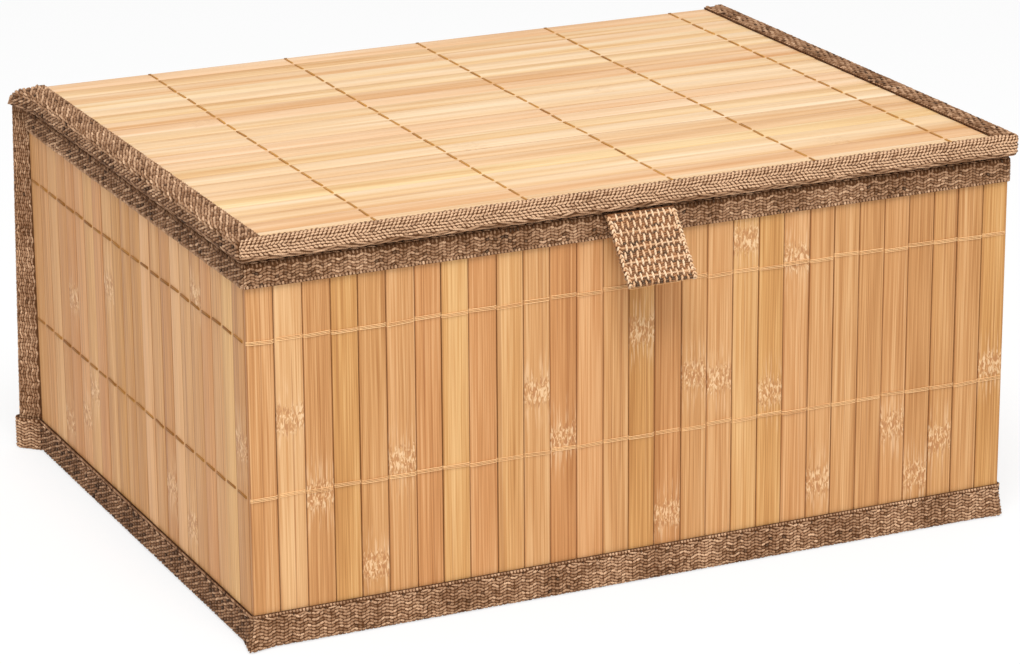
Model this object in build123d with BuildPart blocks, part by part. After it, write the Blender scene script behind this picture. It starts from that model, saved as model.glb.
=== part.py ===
from build123d import *
import os
from math import cos, radians, sin, sqrt

# Storage box covered with bamboo slat mats and bound with woven tape.
# Millimetres, +Z up, front towards -Y. The origin is on the floor, at the middle of the
# whole footprint: pull tab in front, bound corners behind.

# Overall sizes
width = 290.0  # over the slats of the side walls
depth = 222.0  # over the slats of the front and back walls
height = 144.0  # floor to the top of the lid tape

# Bamboo mats
slat_thickness = 1.6
slat_gap = 0.25
slat_round = 0.4
front_slat_count = 29
side_slat_count = 22
back_slat_count = 13
lid_slat_count = 22
cloth_thickness = 0.4  # the backing cloth that holds the slats together

# Stiffening boards and the lining glued to them
board_thickness = 3.0
lining_thickness = 0.5

# Weaving threads that cross the slats
thread_width = 1.2
thread_thickness = 0.35
wall_thread_heights = (53.5, 108.0)
lid_thread_count = 5
lid_thread_pitch = 55.0
lid_thread_middle = 13.0

# Binding tape
tape_thickness = 1.2
base_tape_rise = 12.5
base_tape_under = 12.0
rim_tape_drop = 9.0
rim_tape_inside = 9.0
lid_tape_side = 10.0
lid_tape_front = 4.0
lid_tape_under = 10.0

# Lid and its cloth hinge at the rear top edge
lid_overhang = 3.0  # past the wall slats at the left, front and right
lid_seat_gap = 0.3
hinge_slat_gap = 0.5  # from the fold line to the nearest slat, board or tape
hinge_cloth_gap = 0.3

# Bound seams that stand out at the two rear corners
corner_reach = 7.0  # past the side slats and past the back slats
corner_setback = 0.4  # from the cloth in the seam to the ends of the slats
corner_tape_clearance = 0.3  # from the seam's tape to the slats and to the tapes that end there
corner_wrap_clearance = 0.1  # between the seam's tape and the base tape round its foot

# Pull tab: a doubled piece of webbing under the front edge of the lid
tab_width = 26.0
tab_length = 26.0
tab_layer = 0.8
tab_slit = 0.2
tab_lean = 30.0  # degrees out from straight down
tab_root_gap = 0.1

# Layers, measured inwards from the outer face of the slats
cloth_outside = slat_thickness
cloth_inside = cloth_outside + cloth_thickness
board_inside = cloth_inside + board_thickness
lining_inside = board_inside + lining_thickness
tape_inside = lining_inside + tape_thickness

# The seam of a rear corner leaves the cloth's corner along the diagonal
seam_inset = cloth_outside + cloth_thickness / 2
seam_half = cloth_thickness + tape_thickness
seam_start = seam_inset * sqrt(2) - cloth_thickness + corner_tape_clearance
seam_end = (corner_reach + seam_inset - seam_half) * sqrt(2)
wrap_inside = seam_half + corner_wrap_clearance
wrap_outside = wrap_inside + tape_thickness
wrap_start = seam_inset * sqrt(2) - wrap_inside + corner_tape_clearance
flap_start = -cloth_thickness / sqrt(2)

# Pull tab outline
tab_thickness = 2 * tab_layer + tab_slit
tab_tip = tab_thickness / 2
tab_reach = (tab_length - tab_tip) * sin(radians(tab_lean)) + tab_tip * (1 - cos(radians(tab_lean)))

# The walls lie so that the whole footprint is centred on the origin
front_extent = lid_overhang + tab_root_gap + tab_reach
back_extent = corner_reach + corner_wrap_clearance + tape_thickness
front_y = -depth / 2 + (front_extent - back_extent) / 2
back_y = front_y + depth
middle_y = (front_y + back_y) / 2
side_x = width / 2

# Levels
slat_low = tape_thickness
base_board_low = slat_low + cloth_thickness
floor_low = base_board_low + board_thickness
lid_core_thickness = slat_thickness + cloth_thickness + board_thickness + lining_thickness
lid_low = height - lid_core_thickness - 2 * tape_thickness
lid_lining_low = lid_low + tape_thickness
lid_board_low = lid_lining_low + lining_thickness
lid_cloth_low = lid_board_low + board_thickness
lid_slat_low = lid_cloth_low + cloth_thickness
lid_slat_high = lid_slat_low + slat_thickness
rim_high = lid_low - lid_seat_gap
wall_high = rim_high - tape_thickness

# Fold line of the lid
hinge_y = back_y - seam_inset
hinge_z = lid_cloth_low + cloth_thickness / 2

# Lid core, inside its tape
lid_core_x = side_x + lid_overhang - tape_thickness
lid_core_front = front_y - lid_overhang + tape_thickness
lid_rear = hinge_y - hinge_slat_gap
back_slat_high = hinge_z - hinge_slat_gap

# Ends of the mats at the rear corners
slat_end = cloth_inside + corner_setback
side_slat_front = front_y + slat_thickness + slat_gap
side_slat_rear = back_y - slat_end
seam_foot_y = hinge_y + (seam_start - seam_half) / sqrt(2)
outer_tape_rear = seam_foot_y - corner_tape_clearance

os.makedirs("parts", exist_ok=True)


def plan_rectangle(x_low, x_high, y_low, y_high, mode=Mode.ADD):
    """Rectangle between two x and two y values of the current sketch."""
    with Locations(((x_low + x_high) / 2, (y_low + y_high) / 2)):
        Rectangle(x_high - x_low, y_high - y_low, mode=mode)


def wall_strip(outside, inside, rear):
    """Plan of a strip along the left, front and right walls.

    outside is measured outwards and inside inwards from the outer face of the slats.
    """
    plan_rectangle(-side_x - outside, side_x + outside, front_y - outside, rear)
    plan_rectangle(-side_x + inside, side_x - inside, front_y + inside, rear, Mode.SUBTRACT)


def corner_plane(side, level):
    """Plane at a rear corner: local X runs out along the seam's diagonal."""
    origin = (side * (side_x - seam_inset), hinge_y, level)
    return Plane(origin=origin, x_dir=(side, 1, 0), z_dir=(0, 0, 1))


def seam_outline(start, half, mode=Mode.ADD):
    """Strip along the diagonal, rounded where the tape folds over its edge."""
    plan_rectangle(start, seam_end, -half, half, mode)
    with Locations((seam_end, 0)):
        Circle(half, mode=mode)


# Base board
with BuildPart() as base_board:
    with BuildSketch(Plane.XY.offset(base_board_low)):
        board_x = side_x - cloth_inside
        plan_rectangle(-board_x, board_x, front_y + cloth_inside, back_y - cloth_inside)
    extrude(amount=board_thickness)
base_board.part.label = "base_board"
export_step(base_board.part, "parts/base_board.step")

# Cloth under the base board
with BuildPart() as base_cloth:
    with BuildSketch(Plane.XY.offset(slat_low)):
        plan_rectangle(-board_x, board_x, front_y + cloth_inside, back_y - cloth_inside)
    extrude(amount=cloth_thickness)
base_cloth.part.label = "base_cloth"
export_step(base_cloth.part, "parts/base_cloth.step")

# Lining on the floor, between the wall boards
with BuildPart() as floor_lining:
    with BuildSketch(Plane.XY.offset(floor_low)):
        lining_x = side_x - board_inside
        plan_rectangle(-lining_x, lining_x, front_y + board_inside, back_y - board_inside)
    extrude(amount=lining_thickness)
floor_lining.part.label = "floor_lining"
export_step(floor_lining.part, "parts/floor_lining.step")

# Front wall board, under the rim tape
with BuildPart() as front_board:
    with BuildSketch(Plane.XY.offset(floor_low)):
        plan_rectangle(-board_x, board_x, front_y + cloth_inside, front_y + board_inside)
    extrude(amount=wall_high - floor_low)
front_board.part.label = "front_board"
export_step(front_board.part, "parts/front_board.step")

# Back wall board, up to the level of the rim
with BuildPart() as back_board:
    with BuildSketch(Plane.XY.offset(floor_low)):
        plan_rectangle(-board_x, board_x, back_y - board_inside, back_y - cloth_inside)
    extrude(amount=rim_high - floor_low)
back_board.part.label = "back_board"
export_step(back_board.part, "parts/back_board.step")

# Linings of the front and back walls
lining_low = floor_low + lining_thickness
with BuildPart() as front_lining:
    with BuildSketch(Plane.XY.offset(lining_low)):
        plan_rectangle(-lining_x, lining_x, front_y + board_inside, front_y + lining_inside)
    extrude(amount=wall_high - lining_low)
front_lining.part.label = "front_lining"
export_step(front_lining.part, "parts/front_lining.step")

with BuildPart() as back_lining:
    with BuildSketch(Plane.XY.offset(lining_low)):
        plan_rectangle(-lining_x, lining_x, back_y - lining_inside, back_y - board_inside)
    extrude(amount=rim_high - lining_low)
back_lining.part.label = "back_lining"
export_step(back_lining.part, "parts/back_lining.step")

# Front mat: upright slats side by side
front_pitch = width / front_slat_count
with BuildPart() as front_slats:
    with BuildSketch(Plane.XY.offset(slat_low)) as front_plan:
        with Locations((0, front_y + slat_thickness / 2)):
            with GridLocations(front_pitch, 1, front_slat_count, 1):
                Rectangle(front_pitch - slat_gap, slat_thickness)
        fillet(front_plan.vertices().group_by(Axis.Y)[0], slat_round)
    extrude(amount=wall_high - slat_low)
front_slats.part.label = "front_slats"
export_step(front_slats.part, "parts/front_slats.step")

# Back mat: level slats one above another, the same mat that covers the lid
back_run = back_slat_high - slat_low
back_pitch = back_run / back_slat_count
back_slat_x = side_x - slat_end
with BuildPart() as back_slats:
    with BuildSketch(Plane.YZ.offset(-back_slat_x)) as back_section:
        with Locations((back_y - slat_thickness / 2, slat_low + back_run / 2)):
            with GridLocations(1, back_pitch, 1, back_slat_count):
                Rectangle(slat_thickness, back_pitch - slat_gap)
        fillet(back_section.vertices().group_by(Axis.X)[-1], slat_round)
    extrude(amount=2 * back_slat_x)
back_slats.part.label = "back_slats"
export_step(back_slats.part, "parts/back_slats.step")

# Side walls: board, lining, slats and the tape of the rear corner
side_run = side_slat_rear - side_slat_front
side_pitch = side_run / side_slat_count
for name, side in (("left", -1), ("right", 1)):
    with BuildPart() as side_board:
        with BuildSketch(Plane.XY.offset(floor_low)):
            with Locations((side * (side_x - cloth_inside - board_thickness / 2), middle_y)):
                Rectangle(board_thickness, depth - 2 * board_inside)
        extrude(amount=wall_high - floor_low)
    side_board.part.label = f"{name}_board"
    export_step(side_board.part, f"parts/{name}_board.step")

    with BuildPart() as side_lining:
        with BuildSketch(Plane.XY.offset(lining_low)):
            with Locations((side * (side_x - board_inside - lining_thickness / 2), middle_y)):
                Rectangle(lining_thickness, depth - 2 * lining_inside)
        extrude(amount=wall_high - lining_low)
    side_lining.part.label = f"{name}_lining"
    export_step(side_lining.part, f"parts/{name}_lining.step")

    with BuildPart() as side_slats:
        with BuildSketch(Plane.XY.offset(slat_low)) as side_plan:
            with Locations((side * (side_x - slat_thickness / 2), side_slat_front + side_run / 2)):
                with GridLocations(1, side_pitch, 1, side_slat_count):
                    Rectangle(slat_thickness, side_pitch - slat_gap)
            outer_corners = side_plan.vertices().group_by(Axis.X)[-1 if side > 0 else 0]
            fillet(outer_corners, slat_round)
        extrude(amount=wall_high - slat_low)
    side_slats.part.label = f"{name}_slats"
    export_step(side_slats.part, f"parts/{name}_slats.step")

    with BuildPart() as corner_tape:
        with BuildSketch(corner_plane(side, slat_low)):
            seam_outline(seam_start, seam_half)
            seam_outline(seam_start, cloth_thickness, Mode.SUBTRACT)
        extrude(amount=rim_high - slat_low)
    corner_tape.part.label = f"{name}_corner_tape"
    export_step(corner_tape.part, f"parts/{name}_corner_tape.step")

# Backing cloth of the left, front and right walls, one length folded at the front corners.
# At the rear corners it turns out along the diagonal, into the bound seam.
with BuildPart() as wall_cloth:
    with BuildSketch(Plane.XY.offset(slat_low)):
        wall_strip(-cloth_outside, cloth_inside, back_y - cloth_inside)
    extrude(amount=wall_high - slat_low)
    for side in (-1, 1):
        with BuildSketch(corner_plane(side, slat_low)):
            flap_low = min(0, -side * cloth_thickness)
            plan_rectangle(flap_start, seam_end, flap_low, flap_low + cloth_thickness)
        extrude(amount=wall_high - slat_low)
wall_cloth.part.label = "wall_cloth"
export_step(wall_cloth.part, "parts/wall_cloth.step")

# Backing cloth of the back wall, up to the fold of the lid
back_cloth_high = hinge_z - hinge_cloth_gap
with BuildPart() as back_cloth:
    with BuildSketch(Plane.XY.offset(slat_low)):
        plan_rectangle(-board_x, board_x, back_y - cloth_inside, back_y - cloth_outside)
    extrude(amount=back_cloth_high - slat_low)
    for side in (-1, 1):
        with BuildSketch(corner_plane(side, slat_low)):
            flap_low = min(0, side * cloth_thickness)
            plan_rectangle(flap_start, seam_end, flap_low, flap_low + cloth_thickness)
        extrude(amount=wall_high - slat_low)
back_cloth.part.label = "back_cloth"
export_step(back_cloth.part, "parts/back_cloth.step")

# Weaving threads round the walls
for name, level in zip(("lower", "upper"), wall_thread_heights):
    with BuildPart() as wall_thread:
        with BuildSketch(Plane.XY.offset(level - thread_width / 2)):
            wall_strip(thread_thickness, 0, outer_tape_rear)
        extrude(amount=thread_width)
    wall_thread.part.label = f"{name}_wall_thread"
    export_step(wall_thread.part, f"parts/{name}_wall_thread.step")

# Weaving threads of the back wall, in line with those of the lid
with BuildPart() as back_threads:
    with BuildSketch(Plane.XY.offset(base_tape_rise)):
        with Locations((lid_thread_middle, back_y + thread_thickness / 2)):
            with GridLocations(lid_thread_pitch, 1, lid_thread_count, 1):
                Rectangle(thread_width, thread_thickness)
    extrude(amount=back_slat_high - slat_gap - base_tape_rise)
back_threads.part.label = "back_threads"
export_step(back_threads.part, "parts/back_threads.step")

# Rim tape, folded over the top edge of the left, front and right walls
with BuildPart() as rim_tape:
    with BuildSketch(Plane.XY.offset(rim_high - rim_tape_drop)):
        wall_strip(tape_thickness, 0, outer_tape_rear)
    extrude(amount=rim_tape_drop)
    with BuildSketch(Plane.XY.offset(wall_high)):
        wall_strip(tape_thickness, tape_inside, back_y - lining_inside)
    extrude(amount=tape_thickness)
    with BuildSketch(Plane.XY.offset(rim_high - rim_tape_inside)):
        wall_strip(-lining_inside, tape_inside, back_y - lining_inside)
    extrude(amount=rim_tape_inside)
rim_tape.part.label = "rim_tape"
export_step(rim_tape.part, "parts/rim_tape.step")

# Base tape: up the outside of all four walls, under their edge and under the base.
# It goes round the foot of each bound corner seam as well.
with BuildPart() as base_tape:
    with BuildSketch():
        plan_rectangle(-side_x, side_x, front_y, back_y)
        under_x = side_x - base_tape_under
        plan_rectangle(-under_x, under_x, front_y + base_tape_under, back_y - base_tape_under, Mode.SUBTRACT)
    extrude(amount=tape_thickness)
    with BuildSketch():
        wall_strip(tape_thickness, 0, outer_tape_rear)
        back_tape_x = outer_tape_rear - back_y + side_x
        plan_rectangle(-back_tape_x, back_tape_x, back_y, back_y + tape_thickness)
    extrude(amount=base_tape_rise)
    for side in (-1, 1):
        with BuildSketch(corner_plane(side, 0)):
            seam_outline(wrap_start, wrap_outside)
        extrude(amount=base_tape_rise)
        with BuildSketch(corner_plane(side, slat_low)):
            seam_outline(wrap_start, wrap_inside)
        extrude(amount=base_tape_rise - slat_low, mode=Mode.SUBTRACT)
base_tape.part.label = "base_tape"
export_step(base_tape.part, "parts/base_tape.step")

# Lid core: lining, board and backing cloth
with BuildPart() as lid_lining:
    with BuildSketch(Plane.XY.offset(lid_lining_low)):
        plan_rectangle(-lid_core_x, lid_core_x, lid_core_front, lid_rear)
    extrude(amount=lining_thickness)
lid_lining.part.label = "lid_lining"
export_step(lid_lining.part, "parts/lid_lining.step")

with BuildPart() as lid_board:
    with BuildSketch(Plane.XY.offset(lid_board_low)):
        plan_rectangle(-lid_core_x, lid_core_x, lid_core_front, lid_rear)
    extrude(amount=board_thickness)
lid_board.part.label = "lid_board"
export_step(lid_board.part, "parts/lid_board.step")

with BuildPart() as lid_cloth:
    with BuildSketch(Plane.XY.offset(lid_cloth_low)):
        plan_rectangle(-lid_core_x, lid_core_x, lid_core_front, hinge_y - hinge_cloth_gap)
    extrude(amount=cloth_thickness)
lid_cloth.part.label = "lid_cloth"
export_step(lid_cloth.part, "parts/lid_cloth.step")

# Lid mat: slats from left to right
lid_run = lid_rear - lid_core_front
lid_pitch = lid_run / lid_slat_count
with BuildPart() as lid_slats:
    with BuildSketch(Plane.YZ.offset(-lid_core_x)) as lid_section:
        with Locations((lid_core_front + lid_run / 2, lid_slat_low + slat_thickness / 2)):
            with GridLocations(lid_pitch, 1, lid_slat_count, 1):
                Rectangle(lid_pitch - slat_gap, slat_thickness)
        fillet(lid_section.vertices().group_by(Axis.Y)[-1], slat_round)
    extrude(amount=2 * lid_core_x)
lid_slats.part.label = "lid_slats"
export_step(lid_slats.part, "parts/lid_slats.step")

# Weaving threads over the lid, from its front tape to the fold
lid_thread_front = front_y - lid_overhang + lid_tape_front
lid_thread_rear = lid_rear - slat_gap
with BuildPart() as lid_threads:
    with BuildSketch(Plane.XY.offset(lid_slat_high)):
        with Locations((lid_thread_middle, (lid_thread_front + lid_thread_rear) / 2)):
            with GridLocations(lid_thread_pitch, 1, lid_thread_count, 1):
                Rectangle(thread_width, lid_thread_rear - lid_thread_front)
    extrude(amount=thread_thickness)
lid_threads.part.label = "lid_threads"
export_step(lid_threads.part, "parts/lid_threads.step")

# Lid tape, folded round the left, front and right edges
with BuildPart() as lid_tape:
    lid_x = side_x + lid_overhang
    lid_front = front_y - lid_overhang
    with BuildSketch(Plane.XY.offset(lid_low)):
        plan_rectangle(-lid_x, lid_x, lid_front, lid_rear)
        plan_rectangle(-lid_core_x, lid_core_x, lid_core_front, lid_rear, Mode.SUBTRACT)
    extrude(amount=height - lid_low)
    with BuildSketch(Plane.XY.offset(lid_low)):
        inner_x = lid_x - lid_tape_under
        plan_rectangle(-lid_x, lid_x, lid_front, lid_rear)
        plan_rectangle(-inner_x, inner_x, lid_front + lid_tape_under, lid_rear, Mode.SUBTRACT)
    extrude(amount=tape_thickness)
    with BuildSketch(Plane.XY.offset(lid_slat_high)):
        inner_x = lid_x - lid_tape_side
        plan_rectangle(-lid_x, lid_x, lid_front, lid_rear)
        plan_rectangle(-inner_x, inner_x, lid_front + lid_tape_front, lid_rear, Mode.SUBTRACT)
    extrude(amount=tape_thickness)
lid_tape.part.label = "lid_tape"
export_step(lid_tape.part, "parts/lid_tape.step")

# Pull tab: webbing doubled over a fold at its tip, leaning out from the lid's lower edge
tab_root = (-tab_width / 2, front_y - lid_overhang - tab_root_gap, lid_low - tab_root_gap)
tab_down = (0, -sin(radians(tab_lean)), -cos(radians(tab_lean)))
with BuildPart() as pull_tab:
    with BuildSketch(Plane(origin=tab_root, x_dir=tab_down, z_dir=(1, 0, 0))):
        plan_rectangle(0, tab_length - tab_tip, 0, tab_thickness)
        with Locations((tab_length - tab_tip, tab_tip)):
            Circle(tab_tip)
        plan_rectangle(0, tab_length - tab_tip, tab_layer, tab_layer + tab_slit, Mode.SUBTRACT)
    extrude(amount=tab_width)
pull_tab.part.label = "pull_tab"
export_step(pull_tab.part, "parts/pull_tab.step")
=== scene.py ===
# %% [markdown]
# # A storage box covered with bamboo slats
#
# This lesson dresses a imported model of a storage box. The solids already have their sizes, joints and names, and here
# they get the looks of the real box: bamboo slats woven into mats, brown woven tape round every edge, and a webbing
# tab that lifts the lid.
#
# Every piece is made at its real place in metres. The flat patterns are worked out in millimetres, because a slat is
# 10 mm wide and a yarn of the tape is about 1 mm thick, and such numbers are easier to read.

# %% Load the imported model
import math

import bpy
import numpy as np
from mathutils import Matrix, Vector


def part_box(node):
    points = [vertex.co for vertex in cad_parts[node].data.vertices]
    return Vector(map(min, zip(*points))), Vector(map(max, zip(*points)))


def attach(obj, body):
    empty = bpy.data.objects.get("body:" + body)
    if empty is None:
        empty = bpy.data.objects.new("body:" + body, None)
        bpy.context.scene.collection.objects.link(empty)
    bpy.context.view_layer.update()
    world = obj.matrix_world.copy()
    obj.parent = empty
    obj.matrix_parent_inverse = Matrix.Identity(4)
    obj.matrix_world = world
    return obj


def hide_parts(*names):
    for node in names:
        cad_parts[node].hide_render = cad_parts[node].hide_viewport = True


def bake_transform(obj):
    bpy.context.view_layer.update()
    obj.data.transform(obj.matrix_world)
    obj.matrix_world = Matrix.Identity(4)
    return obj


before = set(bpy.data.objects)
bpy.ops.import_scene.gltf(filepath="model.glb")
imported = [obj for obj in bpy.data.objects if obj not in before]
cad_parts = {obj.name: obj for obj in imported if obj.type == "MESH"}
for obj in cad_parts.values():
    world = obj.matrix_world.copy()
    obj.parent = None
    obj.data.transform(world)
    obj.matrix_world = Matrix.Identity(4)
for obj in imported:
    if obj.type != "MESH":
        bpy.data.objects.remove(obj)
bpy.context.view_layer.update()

# %% [markdown]
# ## Measures of the box
#
# The lowest and highest corners of the solids say where each layer lies. Reading them here, and not writing the
# numbers down again, keeps the looks on the solids when a size changes.

# %% Read the places of the walls and the lid
MM = 0.001


def corners_of(node):
    """Lowest and highest corner of a solid, in millimetres."""
    low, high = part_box(node)
    return np.array(low) / MM, np.array(high) / MM


side_x = -corners_of("left_slats")[0][0]
front_y = corners_of("front_slats")[0][1]
back_y = corners_of("back_slats")[1][1]
slat_low, wall_high = corners_of("front_slats")[0][2], corners_of("front_slats")[1][2]
rim_high = corners_of("rim_tape")[1][2]
lid_tape_low, lid_tape_high = corners_of("lid_tape")
lid_slat_high = corners_of("lid_slats")[1][2]
lid_x, lid_front, lid_rear = lid_tape_high[0], lid_tape_low[1], lid_tape_high[1]
lid_low, lid_high = lid_tape_low[2], lid_tape_high[2]
print(f"walls {2 * side_x:.1f} x {back_y - front_y:.1f} mm, lid top at {lid_high:.1f} mm")

# %% [markdown]
# ## Helpers for modelling
#
# An operator acts on everything that is selected, and the loaded solids start selected. So each step first selects
# only its own piece. Edges are picked in code by their place, as a hand would pick them with the mouse.


# %% Select, edit and join
def select_only(piece=None):
    """Deselects everything, then selects one piece and makes it active."""
    bpy.ops.object.select_all(action="DESELECT")
    if piece:
        piece.select_set(True)
        bpy.context.view_layer.objects.active = piece


def added(name):
    """Names the new primitive and puts its place and size into its mesh."""
    piece = bpy.context.object
    bpy.ops.object.transform_apply(location=True, rotation=True, scale=True)
    piece.name = piece.data.name = name
    return piece


def added_grid(name, cells, size, place=(0, 0, 0)):
    """A flat grid of cells. The operator leaves out its own scale, so the new object is scaled instead."""
    select_only()
    bpy.ops.mesh.primitive_grid_add(x_subdivisions=cells[0], y_subdivisions=cells[1], size=1, location=place)
    bpy.context.object.scale = (*size, 1)
    return added(name)


def edit_edges(piece, wanted):
    """Enters edit mode with the edges selected whose two ends are wanted."""
    select_only(piece)
    bpy.ops.object.mode_set(mode="EDIT")
    bpy.ops.mesh.select_mode(type="EDGE")
    bpy.ops.mesh.select_all(action="DESELECT")
    bpy.ops.object.mode_set(mode="OBJECT")
    points = piece.data.vertices
    for edge in piece.data.edges:
        a, b = (points[i].co for i in edge.vertices)
        edge.select = wanted(a, b)
    bpy.ops.object.mode_set(mode="EDIT")


def new_object(name, data):
    """A new object in the scene for a mesh, a lamp or a camera."""
    made = bpy.data.objects.new(name, data)
    bpy.context.scene.collection.objects.link(made)
    return made


def mesh_object(name, points, faces):
    """A new object made point by point."""
    mesh = bpy.data.meshes.new(name)
    mesh.from_pydata(points, [], faces)
    return new_object(name, mesh)


def cut_rings(piece, places, axis):
    """Cuts the whole mesh with planes across an axis, which gives it rings to bend at."""
    select_only(piece)
    bpy.ops.object.mode_set(mode="EDIT")
    for place in places:
        bpy.ops.mesh.select_all(action="SELECT")
        centre, normal = [0, 0, 0], [0, 0, 0]
        centre[axis], normal[axis] = place, 1
        bpy.ops.mesh.bisect(plane_co=centre, plane_no=normal)
    bpy.ops.object.mode_set(mode="OBJECT")


def apply_modifier(piece, kind, **settings):
    """Adds a modifier with its settings and applies it."""
    select_only(piece)
    modifier = piece.modifiers.new(kind, kind)
    for key, value in settings.items():
        setattr(modifier, key, value)
    bpy.ops.object.modifier_apply(modifier=modifier.name)


def join(pieces, name):
    """Joins pieces into the first one."""
    select_only(pieces[0])
    for piece in pieces[1:]:
        piece.select_set(True)
    bpy.ops.object.join()
    pieces[0].name = pieces[0].data.name = name
    return pieces[0]


print("selected after the load:", len(bpy.context.selected_objects), "objects")

# %% [markdown]
# Bending a mesh along a fold is a sum over all its points. Reading them as one array does that sum for thousands of
# points at once. Numbers stored on the points, such as where a fibre lies, tell the materials about each slat or yarn.


# %% Read and write a mesh as arrays
def points_of(piece):
    """All points of a mesh as rows of x, y, z."""
    points = np.empty(len(piece.data.vertices) * 3)
    piece.data.vertices.foreach_get("co", points)
    return points.reshape(-1, 3)


def move_points(piece, points):
    """Writes all points of a mesh back."""
    piece.data.vertices.foreach_set("co", np.asarray(points, np.float32).ravel())
    piece.data.update()


def note(piece, name, values):
    """Stores a number or a vector for every point, for the materials to read."""
    values = np.asarray(values, np.float32)
    kind, key = ("FLOAT_VECTOR", "vector") if values.ndim == 2 else ("FLOAT", "value")
    attribute = piece.data.attributes.get(name) or piece.data.attributes.new(name, kind, "POINT")
    attribute.data.foreach_set(key, values.ravel())


def finish_piece(piece, material, body, slot, *nodes, angle=None):
    """Turns all faces outwards, shades them, gives the piece its material, hangs it on its body and hides the solids
    that it stands for.
    """
    select_only(piece)
    bpy.ops.object.mode_set(mode="EDIT")
    bpy.ops.mesh.select_all(action="SELECT")
    bpy.ops.mesh.normals_make_consistent(inside=False)
    bpy.ops.object.mode_set(mode="OBJECT")
    if angle:
        bpy.ops.object.shade_smooth_by_angle(angle=math.radians(angle))
    else:
        bpy.ops.object.shade_smooth()
    piece.data.materials.clear()
    piece.data.materials.append(material)
    if body:
        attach(piece, body)
    if nodes:
        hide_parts(*nodes)
    print(f"{piece.name}: {len(piece.data.polygons)} faces")
    return piece


print("points of the front mat's solid:", len(points_of(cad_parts["front_slats"])))

# %% [markdown]
# ## Helpers for materials
#
# A procedural material is a small sum: noise stretched along the fibre, mixed with the facts that each slat or yarn
# carries. These helpers keep each sum short. Colours are written as they look on screen and turned into light values.


# %% Build shader sums
def screen(red, green, blue):
    """A screen colour from 0 to 255 as light values."""
    parts = [c / 255 for c in (red, green, blue)]
    return [c / 12.92 if c < 0.04 else ((c + 0.055) / 1.055) ** 2.4 for c in parts] + [1]


def connect(tree, value, socket):
    """Links a socket to a value, or writes the value on the socket."""
    if isinstance(value, bpy.types.NodeSocket):
        tree.links.new(value, socket)
    else:
        socket.default_value = value


def add(tree, kind, settings=(), **inputs):
    """A shader node with its settings and inputs."""
    node = tree.nodes.new("ShaderNode" + kind)
    for key, value in dict(settings).items():
        setattr(node, key, value)
    for key, value in inputs.items():
        connect(tree, value, node.inputs[key.replace("_", " ")])
    return node


def calc(tree, operation, *values):
    """A sum of one to three values."""
    node = add(tree, "Math", {"operation": operation})
    for socket, value in zip(node.inputs, values):
        connect(tree, value, socket)
    return node.outputs[0]


def plus(tree, first, *others):
    """Values added up."""
    for other in others:
        first = calc(tree, "ADD", first, other)
    return first


def times(tree, first, *others):
    """Values multiplied."""
    for other in others:
        first = calc(tree, "MULTIPLY", first, other)
    return first


def swing(tree, value, share):
    """A value from 0 to 1 turned into a swing about zero, as wide as the share."""
    return times(tree, calc(tree, "SUBTRACT", value, 0.5), share)


def step(tree, value, low, high):
    """Goes softly from 0 to 1 as the value goes from low to high."""
    settings = {"interpolation_type": "SMOOTHSTEP"}
    return add(tree, "MapRange", settings, Value=value, From_Min=low, From_Max=high).outputs[0]


print(f"a screen grey of 128 is {screen(128, 128, 128)[0]:.3f} of full light")

# %% [markdown]
# The next helpers turn numbers into colours, spread noise over a piece, read what its points carry, and raise a relief.


# %% Make colours, noise and relief
def mix(tree, share, first, second, mode="MIX"):
    """Mixes two colours."""
    node = add(tree, "Mix", {"data_type": "RGBA", "blend_type": mode})
    for socket, value in zip((node.inputs[0], node.inputs[6], node.inputs[7]), (share, first, second)):
        connect(tree, value, socket)
    return node.outputs[2]


def ramp(tree, value, stops):
    """Turns a value into colours, given as (place, screen colour)."""
    node = add(tree, "ValToRGB", Fac=value)
    elements = node.color_ramp.elements
    while len(elements) < len(stops):
        elements.new(0.5)
    for element, (place, colour) in zip(elements, stops):
        element.position, element.color = place, screen(*colour)
    return node.outputs[0]


def noise(tree, vector, stretch, detail=2, distortion=0.0):
    """Noise with its own scale on each axis."""
    scaled = add(tree, "VectorMath", {"operation": "MULTIPLY"})
    connect(tree, vector, scaled.inputs[0])
    scaled.inputs[1].default_value = stretch
    return add(tree, "TexNoise", Vector=scaled.outputs[0], Scale=1, Detail=detail, Distortion=distortion).outputs[0]


def fact(tree, name, vector=False):
    """What every point of the piece carries under a name."""
    node = add(tree, "Attribute", {"attribute_name": name})
    return node.outputs["Vector" if vector else "Fac"]


def bump(tree, height, depth, strength=1.0):
    """Relief of a depth in millimetres."""
    return add(tree, "Bump", Height=height, Distance=depth * MM, Strength=strength).outputs[0]


def new_material(name, **constants):
    """A material with one shader; what is the same all over is set on the shader itself."""
    material = bpy.data.materials.new(name)
    material.use_nodes = True
    tree = material.node_tree
    tree.nodes.clear()
    shader = add(tree, "BsdfPrincipled", **constants)
    add(tree, "OutputMaterial", Surface=shader.outputs[0])
    return material, tree, shader


def paint(tree, shader, colour, relief):
    """Gives a shader its colour and its relief."""
    connect(tree, colour, shader.inputs["Base Color"])
    connect(tree, relief, shader.inputs["Normal"])


print("materials loaded with the solids:", len(bpy.data.materials))

# %% [markdown]
# ## Camera, floor and light
#
# The photograph was taken with a long lens from the front left, a little above the lid. The camera's numbers come from
# a fit of the box's edges, corners and thread rows to the photograph. The floor is white paper: to the camera most of
# it glows plain white, and the rest is lit, so the box keeps a faint shadow. One broad soft lamp above the front makes
# the lid the brightest face and the left wall the darkest, as in the photograph.

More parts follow.
